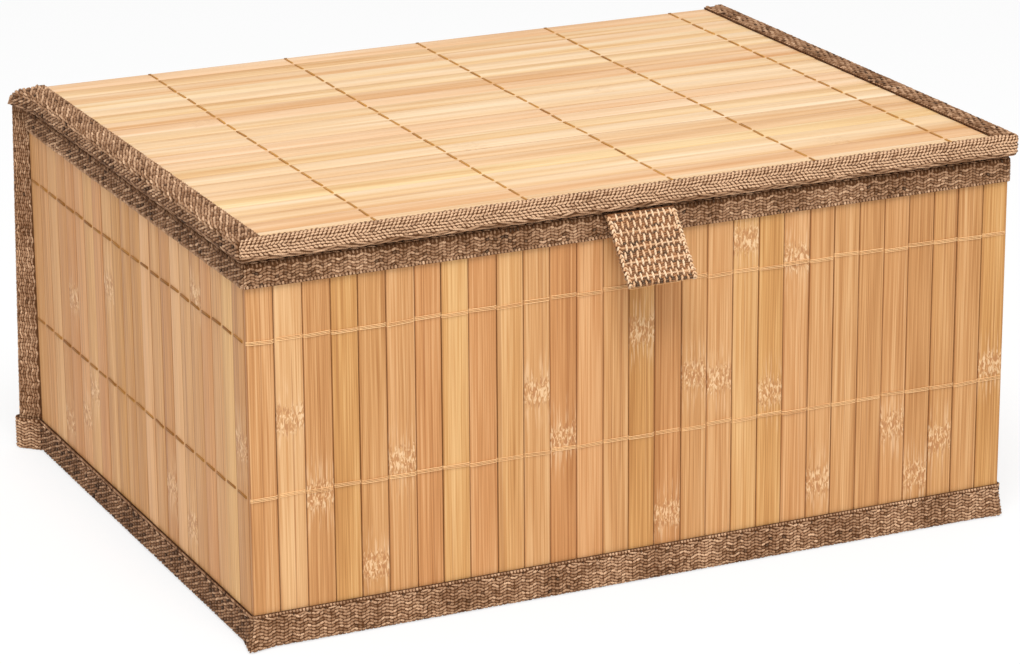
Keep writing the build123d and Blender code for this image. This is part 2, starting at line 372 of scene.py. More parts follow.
# %% Place the camera
yaw, tilt, roll = math.radians(-24.972), math.radians(90 - 18.108), math.radians(-0.371)
camera_data = bpy.data.cameras.new("camera")
camera_data.sensor_width = 36
camera_data.lens = 138.29
camera = new_object("camera", camera_data)
camera.location = (-0.57917, -1.24355, 0.50839)
turned = Matrix.Rotation(yaw, 3, "Z") @ Matrix.Rotation(tilt, 3, "X") @ Matrix.Rotation(roll, 3, "Z")
camera.rotation_euler = turned.to_euler()
bpy.context.scene.camera = camera
bpy.context.scene.view_settings.view_transform = "Standard"
print("camera lens", camera_data.lens, "mm")

# %% [markdown]
# A plane is enough for the floor. Its paper is a mix of a matt surface, which takes the shadow, and a white glow. Only
# the camera and reflections see that glow, so it throws no soft light on the box.

# %% Lay the white floor
select_only()
bpy.ops.mesh.primitive_plane_add(size=12)
floor = added("floor")
floor_paper, tree, paper_shader = new_material("floor_paper", Base_Color=(0.9, 0.9, 0.9, 1), Roughness=0.9)
path = add(tree, "LightPath")
seen = calc(tree, "MAXIMUM", path.outputs["Is Camera Ray"], path.outputs["Is Glossy Ray"])
glow = add(tree, "Emission", Color=(1, 1, 1, 1), Strength=1.0)
paper_mix = add(tree, "MixShader", Fac=times(tree, seen, 0.72))
tree.links.new(paper_shader.outputs[0], paper_mix.inputs[1])
tree.links.new(glow.outputs[0], paper_mix.inputs[2])
tree.links.new(paper_mix.outputs[0], next(n for n in tree.nodes if n.type == "OUTPUT_MATERIAL").inputs[0])
floor.data.materials.append(floor_paper)
print("floor:", floor_paper.name)

# %% [markdown]
# The world gives even light from all sides, as a white tent does, and looks plain white to the camera. One round lamp
# of 1.3 m stands above the front, and its size keeps the shadows soft.

# %% Light the studio
world = bpy.data.worlds.new("studio")
bpy.context.scene.world = world
world.use_nodes = True
tree = world.node_tree
path = add(tree, "LightPath")
seen = calc(tree, "MAXIMUM", path.outputs["Is Camera Ray"], path.outputs["Is Transmission Ray"])
background = tree.nodes["Background"]
background.inputs["Color"].default_value = (1, 1, 1, 1)
tree.links.new(calc(tree, "MAXIMUM", seen, 0.62), background.inputs["Strength"])

lamp_data = bpy.data.lights.new("softbox", "AREA")
lamp_data.shape, lamp_data.size, lamp_data.energy = "DISK", 1.3, 42
lamp = new_object("softbox", lamp_data)
lamp.location = (-0.42, -1.0, 2.1)
lamp.rotation_euler = lamp.location.to_track_quat("Z", "Y").to_euler()
print("lamp", lamp_data.energy, "W")

# %% [markdown]
# ## Bamboo
#
# A bamboo slat is a split of cane: straight fibres along its length, a few darker ones, a slightly different tone in
# every slat, and now and then a node, where the cane had its joint. At a node the fibres cross and fray, so it shows
# as a small patch of cream and brown flecks with strokes that run out above and below it.
#
# Every slat carries its own facts: where its fibres lie (`grain`, in millimetres, with the third number along the
# slat), how far a point is from the middle to the edge (`across`), its tone, its hue, and where its node is. One
# material reads them, so each slat differs although all share it.


# %% Make the bamboo finish
def bamboo_finish(name, dark, middle, light, seam=0.45, fleck=1.0, streaks=1.0, bands=0.55, fibres=1.0):
    """Bamboo from three screen colours, with the strength of each mark."""
    material, tree, shader = new_material(name, Specular_IOR_Level=0.2)
    grain = fact(tree, "grain", vector=True)
    along = add(tree, "SeparateXYZ", Vector=grain).outputs[2]
    fibre = noise(tree, grain, (1.5, 0.5, 0.012), detail=1)
    fine = noise(tree, grain, (3.4, 0.6, 0.03), detail=1)
    band = noise(tree, grain, (0.2, 0.2, 0.006), detail=2)
    tone = calc(tree, "MULTIPLY_ADD", fact(tree, "slat_tone"), 0.1, 0.5)
    for part, share in ((fibre, 0.7 * fibres), (fine, 0.9 * fibres), (band, bands)):
        tone = plus(tree, tone, swing(tree, part, share))
    colour = ramp(tree, tone, ((0.12, dark), (0.5, middle), (0.9, light)))
    # some slats lean to pink, others to yellow
    hue = plus(tree, fact(tree, "slat_hue"), swing(tree, band, 0.9))
    for low, high, tint in ((0.1, 1.5, (252, 243, 239)), (-0.1, -1.5, (255, 255, 240))):
        colour = mix(tree, step(tree, hue, low, high), colour, mix(tree, 1.0, colour, screen(*tint), "MULTIPLY"))
    # a few dark fibres
    streak = step(tree, noise(tree, grain, (0.95, 0.3, 0.007), detail=1), 0.62, 0.72)
    colour = mix(tree, times(tree, streak, 0.42 * streaks), colour, screen(158, 100, 56))
    # the node: flecks inside a ragged band, with strokes that run out of it
    ragged = swing(tree, noise(tree, grain, (1.9, 0.3, 0.05), detail=1), 11)
    away = plus(tree, calc(tree, "SUBTRACT", along, fact(tree, "node_at")), ragged)
    distance = calc(tree, "ABSOLUTE", away)
    inside = step(tree, distance, 5.2, 3.4)
    near = step(tree, distance, 17.0, 4.5)
    flecks = noise(tree, grain, (1.35, 0.4, 0.48), detail=2, distortion=0.9)
    flecked = ramp(tree, flecks, ((0.4, (178, 122, 80)), (0.5, middle), (0.6, (243, 208, 164))))
    colour = mix(tree, times(tree, inside, 0.7 * fleck), colour, flecked)
    stroke = step(tree, noise(tree, grain, (1.9, 0.3, 0.09), detail=1), 0.52, 0.64)
    runs_out = times(tree, calc(tree, "SUBTRACT", near, inside), stroke)
    colour = mix(tree, times(tree, runs_out, 0.5 * fleck), colour, screen(238, 200, 158))
    # the long edges darker: painted shade of the seams between slats
    edge = step(tree, calc(tree, "ABSOLUTE", fact(tree, "across")), 0.9, 1.0)
    colour = mix(tree, times(tree, edge, seam), colour, screen(138, 84, 44))
    connect(tree, calc(tree, "MULTIPLY_ADD", fibre, 0.25, 0.38), shader.inputs["Roughness"])
    height = plus(tree, fibre, times(tree, flecks, inside, 2.5))
    paint(tree, shader, colour, bump(tree, height, 0.12, 0.5))
    return material


wall_bamboo = bamboo_finish("wall_bamboo", (174, 118, 67), (206, 152, 98), (229, 185, 134))
# The lid's copy of the bamboo is paler, with fainter seams, than the walls': painted light from the lamp above and
# painted sheen of the white surroundings on the top.
lid_bamboo_painted_light = bamboo_finish(
    "lid_bamboo_painted_light", (204, 152, 98), (226, 190, 146), (238, 213, 180), seam=0.1, fleck=0.3, streaks=0.2, bands=1.15,
    fibres=0.6,
)
print("bamboo:", wall_bamboo.name, lid_bamboo_painted_light.name)

# %% [markdown]
# ## The slat
#
# All 108 slats are the same stick: about 10 mm wide and 1.6 mm thick, with the two long edges of its face rounded.
# A cube brought to that size has the right form, and a bevel rounds the two edges. A few cuts across give it rings,
# so that each copy can bow a little, as split cane does.

# %% Model one slat
slat_thickness, slat_gap, slat_rounding = 1.6, 0.25, 0.35
print("slat", slat_thickness, "mm thick, gap", slat_gap, "mm")


def model_slat(length, rounding):
    """One slat in millimetres: x across, y outwards, z along. It is 1 wide, and each copy gets its own width."""
    select_only()
    bpy.ops.mesh.primitive_cube_add(size=1, scale=(1, slat_thickness, length))
    slat = added("slat")
    edit_edges(slat, lambda a, b: a.y > 0 and b.y > 0 and abs(a.z - b.z) > 1)
    bpy.ops.mesh.bevel(offset=rounding, segments=3, affect="EDGES")
    bpy.ops.object.mode_set(mode="OBJECT")
    cut_rings(slat, [length * share for share in (-0.3, -0.1, 0.1, 0.3)], axis=2)
    return slat


# %% [markdown]
# ## The mats
#
# A mat is a row of slats side by side. The slat is copied, each copy gets its own mesh and small differences in width,
# lift and bow, and the copies are joined into one piece, because the mat moves as one. The seams between slats come
# from the true gap and the rounded edges, and a mat of tighter seams has a smaller share of both.


# %% Copy the slat into a mat
def lay_mat(name, node, count, axes, seed, marks, tones=(), material=wall_bamboo, body="box", seam=1.0):
    """A mat in the place of its solid. axes are the numbers of the axes across, outwards and along, then the side."""
    rng = np.random.default_rng(seed)
    low, high = corners_of(node)
    run, out, length_axis, facing = axes
    pitch = (high[run] - low[run] + slat_gap) / count
    seams = low[run] - slat_gap / 2 + pitch * np.arange(count + 1)
    seams[1:-1] += rng.uniform(-0.2, 0.2, count - 1)
    length = high[length_axis] - low[length_axis]
    first = model_slat(length, slat_rounding * seam)
    shape = points_of(first)
    slats = []
    for i in range(count):
        slat = new_object(f"{name}_{i}", first.data.copy())
        width = seams[i + 1] - seams[i] - slat_gap * seam * rng.uniform(0.4, 1.1)
        side = np.sign(shape[:, 0])
        inset = 0.5 - np.abs(shape[:, 0])
        x = side * (width / 2 - inset)
        end = (2 * shape[:, 2] / length) ** 2
        lift = rng.uniform(-0.06, 0.06) + rng.uniform(-0.012, 0.012) * x + rng.uniform(-0.05, 0.12) * (1 - end)
        place = np.empty_like(shape)
        place[:, run] = (seams[i] + seams[i + 1]) / 2 + x + rng.uniform(-0.06, 0.06) * (1 - end)
        place[:, out] = (low[out] + high[out]) / 2 + facing * (shape[:, 1] + np.where(shape[:, 1] > 0, lift, 0))
        place[:, length_axis] = (low[length_axis] + high[length_axis]) / 2 + shape[:, 2]
        grain = np.column_stack((x + 41.7 * i + 7.3 * seed, shape[:, 1] + 3.1 * i, place[:, length_axis]))
        tone = dict(tones).get(i + 1, rng.normal(0, 0.8))
        note(slat, "grain", grain)
        note(slat, "across", 2 * x / width)
        note(slat, "slat_tone", np.full(len(shape), tone))
        note(slat, "slat_hue", np.full(len(shape), rng.normal(0, 1.05)))
        note(slat, "node_at", np.full(len(shape), dict(marks).get(i + 1, -999)))
        move_points(slat, place * MM)
        slats.append(slat)
    bpy.data.objects.remove(first)
    finish_piece(join(slats, name), material, body, "bamboo", node, angle=40)
    return seams


# %% [markdown]
# The marks say at which slat and at which height the photograph shows a node, and the tones which slats are pale or
# dark. Both are counted from the left of the front and from the front of a side. What the photograph doesn't show gets
# a few nodes and random tones.

# %% Lay the five mats
front_marks = {2: 80, 3: 52, 5: 23, 6: 59, 11: 76, 12: 58, 15: 92, 16: 23, 17: 73, 18: 70, 19: 119, 20: 62}
front_marks.update({21: 110, 22: 26, 25: 42, 26: 22, 27: 34, 29: 59})
front_tones = {1: 0.1, 2: 2.2, 3: -0.8, 4: -0.3, 5: -0.9, 6: -0.2, 7: -0.6, 9: 0.6, 15: -0.9, 16: -0.7}
front_tones.update({24: -0.9, 25: -0.4, 26: -1.1, 27: -0.5, 28: -0.9})
front_seams = lay_mat("front_mat", "front_slats", 29, (0, 1, 2, -1), 11, front_marks, front_tones)
left_marks = {14: 90, 18: 74, 16: 44, 17: 32, 19: 23, 8: 34, 6: 25, 5: 112, 1: 70}
left_tones = {3: 1.2, 7: 3.4, 8: -0.6, 10: 3.0, 11: -0.4, 15: 0.6, 17: 1.0, 18: -0.6, 20: 1.2, 21: 0.2}
left_seams = lay_mat("left_mat", "left_slats", 22, (1, 0, 2, -1), 23, left_marks, left_tones, seam=0.6)
right_marks = {2: 61, 5: 98, 9: 37, 12: 84, 13: 20, 18: 66, 21: 105}
right_seams = lay_mat("right_mat", "right_slats", 22, (1, 0, 2, 1), 37, right_marks, seam=0.6)
back_marks = {2: -60, 3: 95, 6: 20, 9: -110, 12: 40}
back_seams = lay_mat("back_mat", "back_slats", 13, (2, 1, 0, 1), 41, back_marks)
lid_marks = {3: 88, 8: -31, 13: 45, 15: -104, 20: 12}
lid_seams = lay_mat(
    "lid_mat", "lid_slats", 22, (1, 2, 0, 1), 53, lid_marks, material=lid_bamboo_painted_light, body="lid", seam=0.45
)

# %% [markdown]
# ## Folding flat patterns
#
# Tape and cloth are woven flat and then folded round an edge, and the model follows that order. A pattern is first laid
# out flat: along the tape, across it, and up from its face. Then a path says how the tape's width runs over the edge,
# seen from its end: down the outside of the wall, say, and in under the base. Each point is carried to its place on
# that path. Doing this in code, and not with bend operators, keeps every yarn the right length at every fold.


# %% Make a path with rounded folds
def folded_path(corners, radius):
    """Lengths, points and left-hand normals along a line folded at its corners, in millimetres."""
    corners = np.array(corners, float)

    def heading(a, b):
        return (b - a) / np.linalg.norm(b - a)

    def left_of(direction):
        return np.array((-direction[1], direction[0]))

    points, normals = [corners[0]], [left_of(heading(corners[0], corners[1]))]
    for before, corner, after in zip(corners, corners[1:], corners[2:]):
        arrive, leave = heading(before, corner), heading(corner, after)
        turn = math.atan2(arrive[0] * leave[1] - arrive[1] * leave[0], arrive @ leave)
        back = radius * abs(math.tan(turn / 2))
        side = math.copysign(1, turn)
        centre = corner - arrive * back + left_of(arrive) * side * radius
        for share in np.linspace(0, 1, 9):
            a = turn * share
            normal = left_of(arrive) * math.cos(a) - arrive * math.sin(a)
            points.append(centre - normal * side * radius)
            normals.append(normal)
    points.append(corners[-1])
    normals.append(left_of(heading(corners[-2], corners[-1])))
    points, normals = np.array(points), np.array(normals)
    keep = np.r_[True, np.linalg.norm(np.diff(points, axis=0), axis=1) > 1e-6]
    points, normals = points[keep], normals[keep]
    lengths = np.r_[0, np.cumsum(np.linalg.norm(np.diff(points, axis=0), axis=1))]
    return lengths, points, normals


def on_path(path, across, lift):
    """The two coordinates of points that lie across a folded path, lifted from it."""
    lengths, points, normals = path
    place = [np.interp(across, lengths, points[:, i]) for i in (0, 1)]
    facing = [np.interp(across, lengths, normals[:, i]) for i in (0, 1)]
    return place[0] + lift * facing[0], place[1] + lift * facing[1]


print(f"10 mm down and 10 mm in, folded: {folded_path([(0, 10), (0, 0), (10, 0)], 2)[0][-1]:.1f} mm of tape")

# %% [markdown]
# ## The yarn of the tape
#
# Seen close, the brown binding tape is rows of short floats: places where a yarn passes over the one below. Each float
# is a small spindle, mostly 2 to 4 mm long and about 1 mm wide, with its ends dipping under its neighbours. One is
# modelled from a sphere with few faces, because it is repeated thousands of times. It is copied in the flat to its row,
# and the rows are folded with the tape. Real spindles give dark gaps and bright tops, and the yarn's finish adds
# painted shade at their low ends and a painted highlight on their tops.


# %% Model one float
def model_float():
    """A spindle with half sizes of 1 along x, y and z, its ends bent down."""
    select_only()
    bpy.ops.mesh.primitive_uv_sphere_add(segments=6, ring_count=5, radius=1, rotation=(0, math.pi / 2, 0))
    spindle = added("float")
    points = points_of(spindle)
    points[:, 0] = np.sign(points[:, 0]) * np.abs(points[:, 0]) ** 0.8
    points[:, 2] -= 0.5 * points[:, 0] ** 2
    move_points(spindle, points)
    return spindle


float_shape = model_float()
print("one float:", len(float_shape.data.polygons), "faces")


# %% [markdown]
# ### Three weaves
#
# The tape looks different from place to place. On the front of the walls its rows run in a zigzag that repeats every
# 5.7 mm. Along the sides pale and dark floats meet in slanted ribs, 5.5 mm apart along the tape and 2.2 mm across it.
# Plain rows, each set half a pitch on from the last, serve the lid's front and all that is turned in or under. Each
# weave is a list of rows: place across, pitch, shift, half length, half width and half height of the float, its turn
# and its tone. Small random differences come later, when the rows are laid, so that one list can serve all sides.


# %% Lay rows of floats
def row_places(first, last, apart):
    """Numbered places across the tape, from first to last, about as far apart as asked."""
    return enumerate(np.linspace(first, last, 1 + max(1, round((last - first) / apart))))


def rows(first, last, apart=1.72, pitch=3.2, length=3.7, width=1.2, height=1.0, slant=(0.2, -0.12), tone=0.52):
    """Rows of floats from one place across the tape to another, each started half a pitch after the last."""
    return [
        (at, pitch, (k % 2) * pitch / 2, length / 2, width / 2, height / 2, slant[k % len(slant)], tone)
        for k, at in row_places(first, last, apart)
    ]


def chains(first, last, apart=1.13, pitch=1.42, length=2.05, width=1.1, height=0.92, lean=0.4, tone=0.55):
    """Rows in which two short floats lean one way and the next two the other, so that every row runs in a zigzag."""
    made = []
    for k, at in row_places(first, last, apart):
        for n, (turn, side) in enumerate(((lean, -1), (lean, 1), (-lean, 1), (-lean, -1))):
            place, shade = at + side * lean * pitch / 2, 0.1 - 0.2 * (k % 2)
            made.append((place, 4 * pitch, n * pitch, length / 2, width / 2, height / 2, turn, tone + shade))
    return made


def ribs(first, last, tone, height=1.15, apart=1.12, pitch=2.75, length=3.3, width=1.08, lean=0.39):
    """Rows of leaning floats, pale and dark by turns, whose pale ones meet those of the next row as slanted ribs."""
    return [
        (at, 2 * pitch, pitch * ((k + n) % 2), length / 2, width / 2, height / 2, lean, tone + shade)
        for k, at in row_places(first, last, apart) for n, shade in enumerate((0.14, -0.14))
    ]


plain, zigzag, ribbed = len(rows(0, 10)), len(chains(0, 10)) // 4, len(ribs(0, 10, 0.5)) // 2
print("rows in 10 mm:", plain, "plain,", zigzag, "in zigzag,", ribbed, "of ribs")

# %% [markdown]
# The rows become places for single floats. Every float is a little off in place, turn, size and tone, as hand-fed tape
# is. All copies of one tape are built into one mesh at once, which is far quicker than thousands of objects.


# %% Copy the float to its places
def places_along(pattern, start, end, seed, level=-0.46):
    """Where each float of the rows lies: along, across, level, half length, width and height, turn and tone."""
    rng = np.random.default_rng(seed)
    found = []
    for at, pitch, shift, length, width, height, turn, tone in pattern:
        along = np.arange(start + shift, end, pitch)
        n = len(along)
        along = along + rng.normal(0, 0.025 * pitch, n)
        wave = 0.12 * np.sin(along * 2 * math.pi / 13.0)
        size = rng.uniform(0.93, 1.06, n)
        found.append(np.column_stack((
            along, at + wave + rng.normal(0, 0.04, n), np.full(n, level) + rng.normal(0, 0.03, n), length * size,
            np.full(n, width), height * rng.uniform(0.9, 1.1, n), turn + rng.normal(0, 0.13, n),
            tone + rng.normal(0, 0.15, n) + 0.07 * np.sin(along / 5.9 + seed),
        )))
    return np.vstack(found)


def copies_in_flat(name, shape, places):
    """One mesh with a copy of the shape at every place, each turned and sized."""
    model = points_of(shape)
    faces = [list(p.vertices) for p in shape.data.polygons]
    along, across, level, length, width, height, turn, tone = (c[:, None] for c in places.T)
    x, y = model[:, 0] * length, model[:, 1] * width
    flat = np.stack((
        along + x * np.cos(turn) - y * np.sin(turn), across + x * np.sin(turn) + y * np.cos(turn),
        level + model[:, 2] * height,
    ), axis=2)
    count = len(model)
    all_faces = [[i + k * count for i in face] for k in range(len(places)) for face in faces]
    piece = mesh_object(name, flat.reshape(-1, 3), all_faces)
    note(piece, "yarn", np.stack((x, y, np.broadcast_to(model[:, 2], x.shape)), axis=2).reshape(-1, 3))
    note(piece, "yarn_tone", np.broadcast_to(tone, x.shape).ravel())
    return piece


print("floats on 100 mm of a plain row:", len(places_along(rows(0, 1)[:1], 0, 100, 1)))

# %% [markdown]
# Between the floats one looks into the weave. A thin slab lies under them, so that nothing shines through, and it
# is cut into small cells, because it has to fold with the tape. It is marked as lying low in the yarn and given a
# low tone, so the yarn's finish paints it dark as painted shade of the gaps.


# %% Make the ground under the floats
ground_cell = (1.7, 0.62)
print("cells of the ground:", ground_cell, "mm")


def ground(name, start, end, width, top=-0.4, depth=0.7, cell=ground_cell):
    """The tape's ground in the flat: a thin slab, cut into small cells so that it can fold."""
    size = (end - start, width)
    cells = [max(2, round(whole / part)) for whole, part in zip(size, cell)]
    slab = added_grid(name, cells, size, ((start + end) / 2, width / 2, top))
    apply_modifier(slab, "SOLIDIFY", thickness=depth, offset=-1)
    points = points_of(slab)
    # marked as deep and dark: painted shade of the gaps between the floats
    note(slab, "yarn", np.tile((0, 0, -0.6), (len(points), 1)))
    note(slab, "yarn_tone", np.full(len(points), 0.2))
    return slab


def weave_flat(name, places, start, end, width, **slab):
    """Floats at their places and the ground under them, in the flat."""
    return join([copies_in_flat(name, float_shape, places), ground(f"{name}_ground", start, end, width, **slab)], name)


# %% [markdown]
# ## Finish of the woven tape
#
# The yarn is brown and dull. Its colour depends on the float's own tone. Towards the low ends of a float, where it
# dives into the weave, the colour darkens as painted shade, and on its top it pales as a painted highlight. Fine
# slanted lines across each float show the twist.


# %% Make the yarn finish
def yarn_finish(name, deep, dull, bright, pale, twist=9.0):
    """Woven yarn from four screen colours, from the gaps to the brightest floats."""
    material, tree, shader = new_material(name, Roughness=0.7, Sheen_Weight=0.03, Specular_IOR_Level=0.08)
    parts = add(tree, "SeparateXYZ", Vector=fact(tree, "yarn", vector=True)).outputs
    grime = noise(tree, add(tree, "TexCoord").outputs["Object"], (90, 90, 90), detail=3)
    tone = plus(tree, fact(tree, "yarn_tone"), swing(tree, grime, 0.5))
    colour = ramp(tree, tone, ((0.0, (44, 26, 14)), (0.14, deep), (0.36, dull), (0.64, bright), (1.0, pale)))
    lines = calc(tree, "SINE", plus(tree, times(tree, parts[0], twist), times(tree, parts[1], twist * 0.7)))
    colour = mix(tree, step(tree, lines, 0.9, -0.9), colour, mix(tree, 0.3, colour, screen(*deep)))
    # painted shade: the colour darkens towards the low ends and underside of each float
    painted_end_shade = step(tree, parts[2], 0.55, -0.55)
    colour = mix(tree, times(tree, painted_end_shade, 0.7), colour, screen(*deep))
    # painted highlight: the colour pales on the top of each float
    painted_top_highlight = step(tree, parts[2], 0.55, 1.0)
    colour = mix(tree, times(tree, painted_top_highlight, 0.3), colour, screen(*pale))
    fuzz = noise(tree, add(tree, "TexCoord").outputs["Object"], (2600, 2600, 2600), detail=2)
    paint(tree, shader, colour, bump(tree, plus(tree, lines, fuzz), 0.1, 0.5))
    return material


tape_yarn = yarn_finish("tape_yarn", (90, 56, 30), (142, 102, 71), (182, 141, 108), (234, 192, 154))
webbing_yarn = yarn_finish("webbing_yarn", (116, 74, 44), (168, 110, 66), (224, 174, 128), (252, 220, 182), twist=7.0)
print("yarn:", tape_yarn.name, webbing_yarn.name)

# %% [markdown]
# ## Tape on the walls and the lid
#
# Three tapes go round the box, and all are laid in the same way: one length for each side, folded at the front corners
# with a mitre, where one length stops at the line on which the next begins. Points past that line are brought back
# to it, and the corner itself is rounded a little, since no tape makes a knife edge.


# %% Lay a length of tape round an edge
tape_thickness, wall_middle = 1.2, 60
walls = (side_x, front_y, back_y, wall_middle)


def side_place(side, edge, along, out, up):
    """A point on one side of a form: half width, front and back of its faces."""
    half, front, back = edge[:3]
    if side in ("front", "back"):
        return np.stack((along, front - out if side == "front" else back + out, up), axis=-1)
    return np.stack((half + out if side == "right" else -half - out, front + along, up), axis=-1)


def reach(side, edge, out, up, corner, rear):
    """How far a length of tape goes along its side, at each distance out; it differs above and below the edge."""
    above, below = corner
    mitre = np.maximum(out, np.where(up > edge[3], -above, -below))
    if side == "front":
        return -edge[0] - mitre, edge[0] + mitre
    if side == "back":
        return -rear(out), rear(out)
    return -mitre, rear(out)


def round_corner(points, edge, outside, radius=2.2):
    """Rounds the two upright front corners of what lies outside the walls."""
    inner_x, inner_y = edge[0] + outside - radius, edge[1] - outside + radius
    right, ahead = np.abs(points[:, 0]) - inner_x, inner_y - points[:, 1]
    at = (right > 0) & (ahead > 0)
    scale = np.maximum(right[at], ahead[at]) / np.hypot(right[at], ahead[at])
    points[at, 0] = np.sign(points[at, 0]) * (inner_x + right[at] * scale)
    points[at, 1] = inner_y - ahead[at] * scale
    return points


def lay_tape(name, side, edge, path, pattern, seed, body, node, corner, rear, outside, flare=None):
    """One length of tape, woven flat and folded round its side. It starts spare mm long and is cut at the mitres."""
    spare = 3.0
    far = edge[0] + spare if side in ("front", "back") else edge[2] - edge[1] + spare
    start = -far if side in ("front", "back") else -spare
    places = places_along(pattern, start, far, seed)
    out, up = on_path(path, places[:, 1], 0)
    low, high = reach(side, edge, out, up, corner, rear)
    places = places[(places[:, 0] > low + 0.1) & (places[:, 0] < high - 0.1)]
    piece = weave_flat(name, places, start, far, path[0][-1])
    along, across, lift = points_of(piece).T
    out, up = on_path(path, across, lift)
    low, high = reach(side, edge, out, up, corner, rear)
    points = round_corner(side_place(side, edge, np.clip(along, low, high), out, up), edge, outside)
    if flare:
        points = flare(points)
    move_points(piece, points * MM)
    apply_modifier(piece, "WELD", merge_threshold=0.000002)
    return finish_piece(piece, tape_yarn, body, "binding_tape", node)


print(f"the walls are {walls[2] - walls[1]:.1f} mm deep, and tape on them is {tape_thickness} mm thick")

# %% [markdown]
# The tape's two long edges are selvedges, small loops that lie across the edge. Needle holes run along the sewn edge
# with the sewing thread between them.


# %% Make rows for the edges of a tape
def selvedge(at, pitch=1.75, tone=0.66):
    """A row of small loops across the edge of a tape."""
    return [(at, pitch, 0.0, 0.85, 0.55, 0.5, math.pi / 2 - 0.25, tone)]


def stitching(at, pitch=5.67):
    """Needle holes with the sewing thread between them."""
    return [(at, pitch, 0.0, 0.45, 0.4, 0.62, 0.0, -0.5), (at, pitch, pitch / 2, 1.9, 0.36, 0.55, 0.06, 0.66)]


print("needle holes every", stitching(0)[0][1], "mm")

# %% [markdown]
# ### Base tape
#
# The base tape runs up the outside of the walls for 12 mm and turns in under the base. In the photograph its rows run
# in a zigzag on the front and as slanted ribs at the left, and a few needle holes show near its top edge. It goes round
# all four walls, and round the foot of each bound rear corner.

# %% Lay the base tape
base_rise, base_under = 12.5, 12
depth = back_y - front_y
side_rear = corners_of("lower_wall_thread")[1][1] - front_y
base_path = folded_path([(tape_thickness, base_rise), (tape_thickness, 0), (-base_under, 0)], 1.6)
base_width = base_path[0][-1]


def base_pattern(side, tone):
    """Loops and needle holes at the top, the weave on the wall, plain rows under the base."""
    weave = ribs(2.2, 12.4, tone) if side in ("left", "right") else chains(2.2, 12.4, tone=tone)
    outside = selvedge(0.3, 1.22, tone + 0.08) + stitching(1.5) + weave
    return outside + rows(13.9, base_width - 1.6) + selvedge(base_width - 0.5)


def base_rear(out):
    return np.minimum(side_rear, depth + out)


def base_back(out):
    return np.minimum(side_x + side_rear - depth, side_x + out)


def front_ear(points, inwards=8, height=9):
    """Pushes the tape out at the foot of the front corners, where its fold makes a small ear."""
    whole = inwards + tape_thickness
    beside = np.clip((np.abs(points[:, 0]) - side_x + inwards) / whole, 0, 1)
    ahead = np.clip((front_y + inwards - points[:, 1]) / whole, 0, 1)
    low = np.clip(1 - points[:, 2] / height, 0, 1)
    push = np.where(points[:, 0] < 0, 3.2, 1.3) * (beside * ahead) ** 1.2 * low**1.2
    points[:, 0] += np.sign(points[:, 0]) * push
    points[:, 1] -= push
    return points


# The side lengths get a lower tone than the front: painted shade of the side walls, which get less of the lamp's light.
for k, (side, tone) in enumerate((("front", 0.58), ("left", 0.36), ("right", 0.36), ("back", 0.55))):
    rear = base_back if side == "back" else base_rear
    lay_tape(
        f"base_tape_{side}", side, walls, base_path, base_pattern(side, tone), 60 + k, "box", "base_tape",
        (base_under, base_under), rear, tape_thickness, flare=front_ear,
    )

# %% [markdown]
# ### Rim tape
#
# The rim tape folds over the top edge of the front and side walls, and its inner half shows only when the lid is up.
# Under the lid its upper rows show as short upright strokes, with zigzags below them in front and ribs at the sides.
# It has no length at the back, where the mat runs on into the lid.

# %% Lay the rim tape
rim_inside, rim_foot = 6.7, rim_high - 9.0
rim_mitre = (99, 99)  # more than the tape's depth, so that the mitre goes all the way in
rim_path = folded_path(
    [(-rim_inside, rim_foot), (-rim_inside, rim_high), (tape_thickness, rim_high), (tape_thickness, rim_foot)], 1.3
)
rim_width = rim_path[0][-1]
rim_inner_rear = corners_of("back_lining")[0][1] - front_y
shade_row = [(rim_width - 7.9, 1.42, 0.0, 1.1, 0.42, 0.5, math.pi / 2 - 0.15, 0.34)]


def rim_pattern(side):
    """Plain rows inside, short strokes in the lid's shade, and the weave below them."""
    first, last = rim_width - 6.4, rim_width - 1.3
    # the weave below the lid gets a lower tone than the base tape's, and lower again at the sides: painted shade under
    # the lid's overhang and on the side walls
    outside = chains(first, last, tone=0.48) if side == "front" else ribs(first, last, 0.42)
    return selvedge(0.45) + rows(1.8, rim_width - 9.4) + shade_row + outside + selvedge(rim_width - 0.5, 1.25, 0.6)


def rim_rear(out):
    return np.where(out > -0.3, side_rear, rim_inner_rear)


for k, side in enumerate(("front", "left", "right")):
    lay_tape(
        f"rim_tape_{side}", side, walls, rim_path, rim_pattern(side), 70 + k, "box", "rim_tape", rim_mitre, rim_rear,
        tape_thickness,
    )

# %% [markdown]
# ### Lid tape
#
# The lid tape folds over the lid's edge. On top its floats lean one way and over the edge the other, like arrow heads,
# finely in front and as broad ribs at the sides, and the last rows below are long and level. In the photograph the left
# length spreads out at its rear end over the bound corner of the walls, which stands out there.

# %% Lay the lid tape
lid_edge = (lid_x, lid_front, lid_rear, (lid_low + lid_high) / 2)


def lid_path(top):
    """The path of the lid tape, which covers more of the top at the sides than in front."""
    return folded_path([(-top, lid_high), (0, lid_high), (0, lid_low), (-10, lid_low)], 1.7)


